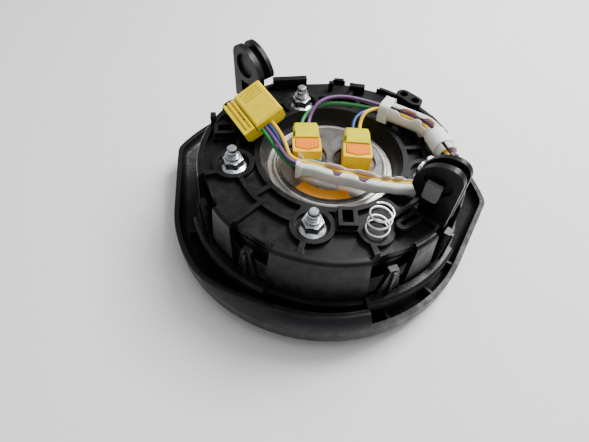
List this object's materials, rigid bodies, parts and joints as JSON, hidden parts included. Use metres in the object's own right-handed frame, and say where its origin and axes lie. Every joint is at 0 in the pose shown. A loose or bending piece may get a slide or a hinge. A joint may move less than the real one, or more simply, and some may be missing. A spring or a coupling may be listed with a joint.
{
  "type": "driver airbag module",
  "caption": "Steering wheel driver airbag module: moulded cover, ribbed housing with latch towers, two-stage inflator and wiring harness.",
  "frame": {"origin": "middle of the cover's flat face, where the inflator's axis meets it", "axes": "+Z along the inflator's axis, from the cover towards the fasteners; +X to the right and +Y to the back in the picture, with the cover's straighter edge at -Y"},
  "size_m": [0.207, 0.1963, 0.093],
  "materials": {
    "cover": "fine grained, dull",
    "housing": "moulded, slight sheen",
    "retainer_ring": "zinc plated",
    "zinc": "blue zinc plated",
    "inflator_can": "turned steel",
    "inflator_closure": "pressed steel, brown tint",
    "igniter": "moulded collar",
    "sticker": "bare paper label",
    "airbag_cushion": "folded woven cloth",
    "squib_yellow": "moulded",
    "squib_cap": "moulded, greenish yellow",
    "squib_lock": "moulded",
    "coding_key": "moulded",
    "main_plug": "moulded, pale yellow",
    "main_latch": "moulded, brown",
    "harness_plastic": "translucent white",
    "wrap": "bare white sleeve",
    "wire_green": "cable insulation",
    "wire_purple": "cable insulation",
    "wire_blue": "cable insulation",
    "wire_yellow": "cable insulation",
    "horn_spring": "spring wire",
    "rubber_pad": "grey rubber",
    "guide_sleeve": "moulded"
  },
  "bodies": {
    "module": {"cover": "cover", "housing": "housing", "retainer_ring": "retainer_ring", "mounting_studs": "zinc", "flange_nuts": "zinc", "flange_bolt": "zinc", "inflator_can": "inflator_can", "inflator_closure": "inflator_closure", "igniter_left": "igniter", "igniter_right": "igniter", "inflator_sticker": "sticker", "airbag_cushion": "airbag_cushion", "squib_plug_left": "squib_yellow", "squib_plug_right": "squib_yellow", "squib_cap_left": "squib_cap", "squib_cap_right": "squib_cap", "coding_key": "coding_key", "main_plug_body": "main_plug", "main_plug_cover": "main_plug", "main_plug_rail": "main_plug", "main_plug_latch": "main_latch", "harness_channel": "harness_plastic", "harness_tube": "harness_plastic", "harness_clip": "harness_plastic", "harness_wrap": "wrap", "harness_foot_plate": "harness_plastic", "wire_green": "wire_green", "wire_purple": "wire_purple", "wire_blue": "wire_blue", "wire_yellow": "wire_yellow", "horn_spring": "horn_spring", "rubber_pad": "rubber_pad", "guide_sleeve_left": "guide_sleeve", "guide_sleeve_front": "guide_sleeve"},
    "lock_left": {"squib_lock_left": "squib_lock"},
    "lock_right": {"squib_lock_right": "squib_lock"}
  },
  "joints": [
    {"name": "lock_left_lift", "type": "slide", "parent": "module", "child": "lock_left", "axis": [0, 0, 1], "range_m": [0, 0.0025]},
    {"name": "lock_right_lift", "type": "slide", "parent": "module", "child": "lock_right", "axis": [0, 0, 1], "range_m": [0, 0.0025]}
  ]
}
